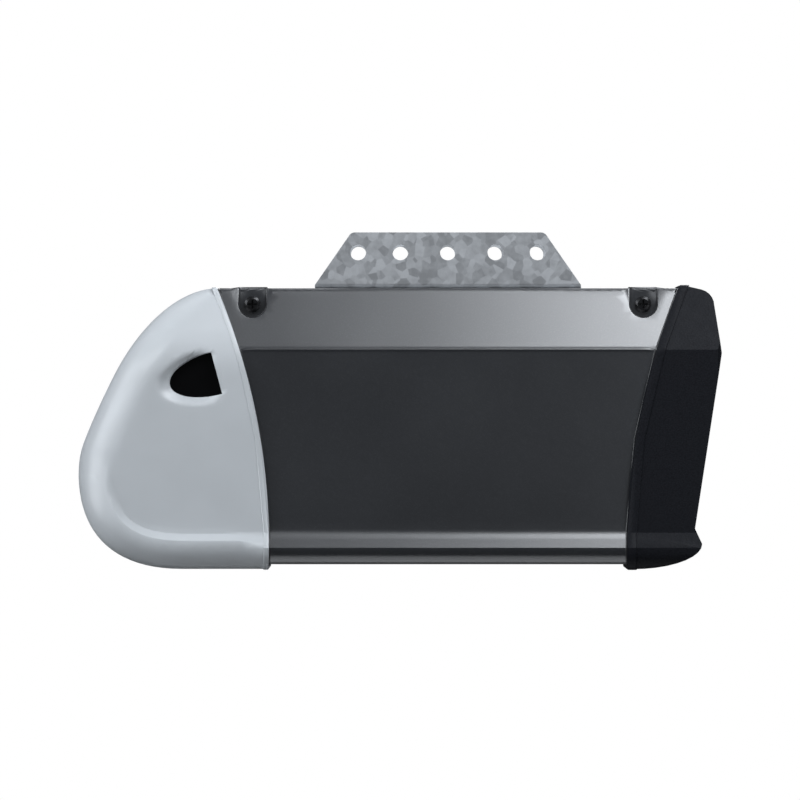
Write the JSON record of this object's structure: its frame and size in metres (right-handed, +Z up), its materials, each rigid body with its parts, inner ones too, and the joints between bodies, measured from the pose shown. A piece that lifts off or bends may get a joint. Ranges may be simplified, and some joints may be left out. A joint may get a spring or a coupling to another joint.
{
  "type": "garage door opener",
  "caption": "Hanging garage door opener power head: folded steel body, hinged frosted lamp lens, black control end cap and a worm-driven chain sprocket.",
  "frame": {"origin": "top face of the chassis plate, on the sprocket axis, midway between the two rail studs", "axes": "+Z up along the sprocket shaft, +X towards the control end cap, -Y towards the front side face"},
  "size_m": [0.3864, 0.219, 0.2024],
  "materials": {
    "galvanised": "mottled galvanised",
    "charcoal_paint": "satin metallic charcoal",
    "zinc_screw": "zinc plated",
    "black_screw": "black oxide",
    "lens_plastic": "frosted translucent grey",
    "white_plastic": "moulded white",
    "black_gloss": "gloss black",
    "black_grain": "fine leather grain",
    "glass_bulb": "frosted",
    "brass": "drawn",
    "steel": "turned",
    "laminations": "stamped laminations",
    "copper": "enamelled winding wire",
    "cast_alloy": "die cast",
    "gear_plastic": "natural nylon",
    "circuit_board": "solder mask",
    "dark_part": "moulded black",
    "grey_button": "moulded grey",
    "yellow_button": "moulded yellow",
    "light_pipe": "clear green",
    "red_lever": "moulded red",
    "green_case": "moulded green"
  },
  "bodies": {
    "housing": {"chassis_plate": "galvanised", "hanging_flange_front": "galvanised", "hanging_flange_back": "galvanised", "flange_rivets": "zinc_screw", "rail_studs": "zinc_screw", "steel_cover": "charcoal_paint", "cover_screws": "black_screw", "chassis_screws": "zinc_screw", "lens_hinge_pins": "steel", "lamp_panel": "white_plastic", "tab_pins": "steel", "lamp_socket": "white_plastic", "socket_shell": "brass", "socket_contact": "brass", "bulb_glass": "glass_bulb", "bulb_base": "steel", "stator_stack": "laminations", "stator_windings": "copper", "motor_bell_front": "cast_alloy", "motor_bell_rear": "cast_alloy", "motor_bolts": "zinc_screw", "motor_bushes": "brass", "speed_sensor": "dark_part", "gear_bracket": "galvanised", "shaft_bushes": "brass", "bearing_housing": "cast_alloy", "travel_case": "green_case", "run_capacitor": "cast_alloy", "capacitor_clamp": "galvanised", "transformer": "laminations", "logic_board": "circuit_board", "board_parts": "dark_part", "board_screws": "zinc_screw", "end_cap": "black_grain", "status_leds": "light_pipe", "terminal_block": "white_plastic", "cord_gland": "dark_part", "wiring": "dark_part"},
    "lens": {"lens": "lens_plastic"},
    "release_tab_front": {"release_tab_front": "black_gloss"},
    "release_tab_back": {"release_tab_back": "black_gloss"},
    "sprocket": {"sprocket": "steel", "sprocket_shaft": "steel", "sprocket_pins": "steel", "drive_gear": "gear_plastic", "travel_pinion": "gear_plastic"},
    "rotor": {"rotor_core": "laminations", "motor_shaft": "steel", "worm": "gear_plastic", "interrupter_disc": "dark_part"},
    "travel_gear": {"travel_gear": "gear_plastic"},
    "button_up": {"button_up": "grey_button"},
    "button_adjust": {"button_adjust": "grey_button"},
    "button_down": {"button_down": "grey_button"},
    "button_learn": {"button_learn": "yellow_button"},
    "terminal_lever_a": {"terminal_lever_a": "red_lever"},
    "terminal_lever_b": {"terminal_lever_b": "white_plastic"},
    "terminal_lever_c": {"terminal_lever_c": "white_plastic"},
    "terminal_lever_d": {"terminal_lever_d": "grey_button"}
  },
  "joints": [
    {"name": "lens_hinge", "type": "hinge", "parent": "housing", "child": "lens", "pos_m": [-0.101, 0, -0.1615], "axis": [0, -1, 0], "range_deg": [0, 90]},
    {"name": "release_tab_front", "type": "hinge", "parent": "housing", "child": "release_tab_front", "pos_m": [-0.1144, -0.0939, -0.051], "axis": [0, 0, -1], "range_deg": [0, 6], "stiffness_Nm_per_rad": 0.35},
    {"name": "release_tab_back", "type": "hinge", "parent": "housing", "child": "release_tab_back", "pos_m": [-0.1144, 0.0939, -0.051], "axis": [0, 0, 1], "range_deg": [0, 6], "stiffness_Nm_per_rad": 0.35},
    {"name": "sprocket_spin", "type": "hinge", "parent": "housing", "child": "sprocket", "pos_m": [0, 0, 0], "axis": [0, 0, 1], "continuous": true},
    {"name": "rotor_spin", "type": "hinge", "parent": "housing", "child": "rotor", "pos_m": [0, 0.0335, -0.05], "axis": [1, 0, 0], "continuous": true},
    {"name": "travel_gear_spin", "type": "hinge", "parent": "housing", "child": "travel_gear", "pos_m": [0.02715, 0, -0.079], "axis": [0, 0, 1], "continuous": true},
    {"name": "up_press", "type": "slide", "parent": "housing", "child": "button_up", "axis": [-1, 0, 0], "range_m": [0, 0.0012], "stiffness_N_per_m": 600},
    {"name": "adjust_press", "type": "slide", "parent": "housing", "child": "button_adjust", "axis": [-1, 0, 0], "range_m": [0, 0.0012], "stiffness_N_per_m": 600},
    {"name": "down_press", "type": "slide", "parent": "housing", "child": "button_down", "axis": [-1, 0, 0], "range_m": [0, 0.0012], "stiffness_N_per_m": 600},
    {"name": "learn_press", "type": "slide", "parent": "housing", "child": "button_learn", "axis": [-1, 0, 0], "range_m": [0, 0.0012], "stiffness_N_per_m": 600},
    {"name": "lever_a_press", "type": "slide", "parent": "housing", "child": "terminal_lever_a", "axis": [-1, 0, 0], "range_m": [0, 0.0015], "stiffness_N_per_m": 900},
    {"name": "lever_b_press", "type": "slide", "parent": "housing", "child": "terminal_lever_b", "axis": [-1, 0, 0], "range_m": [0, 0.0015], "stiffness_N_per_m": 900},
    {"name": "lever_c_press", "type": "slide", "parent": "housing", "child": "terminal_lever_c", "axis": [-1, 0, 0], "range_m": [0, 0.0015], "stiffness_N_per_m": 900},
    {"name": "lever_d_press", "type": "slide", "parent": "housing", "child": "terminal_lever_d", "axis": [-1, 0, 0], "range_m": [0, 0.0015], "stiffness_N_per_m": 900}
  ],
  "couplings": [
    {"joint": "rotor_spin", "follows": "sprocket_spin", "ratio": 17},
    {"joint": "travel_gear_spin", "follows": "sprocket_spin", "ratio": -0.5}
  ]
}
